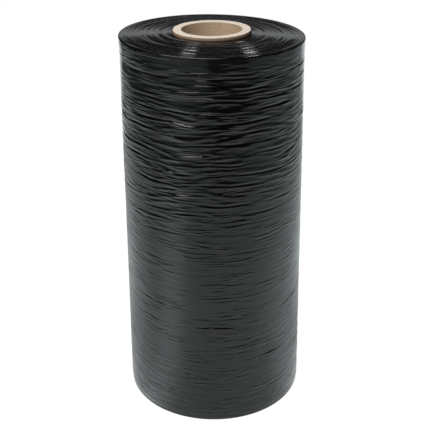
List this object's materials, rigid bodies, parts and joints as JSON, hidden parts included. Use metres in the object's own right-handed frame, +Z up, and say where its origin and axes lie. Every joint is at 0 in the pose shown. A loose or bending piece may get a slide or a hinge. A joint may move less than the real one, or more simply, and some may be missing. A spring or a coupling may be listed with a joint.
{
  "type": "stretch wrap roll",
  "caption": "Full roll of black machine stretch film wound on a cardboard core, standing on its end, with gathers round its side and a flared top rim.",
  "frame": {"origin": "centre of the roll's foot, on its axis, where the end of the core meets the floor", "axes": "+Z up along the roll's axis, -Y towards the side that faces the camera, +X to the camera's right"},
  "size_m": [0.2418, 0.2419, 0.5072],
  "materials": {
    "kraft_board": "matt kraft paper board, paler on its sawn rims",
    "black_film": "glossy black stretch film with folds round the roll"
  },
  "bodies": {
    "root": {"core_tube": "kraft_board", "film_roll": "black_film"}
  },
  "joints": []
}
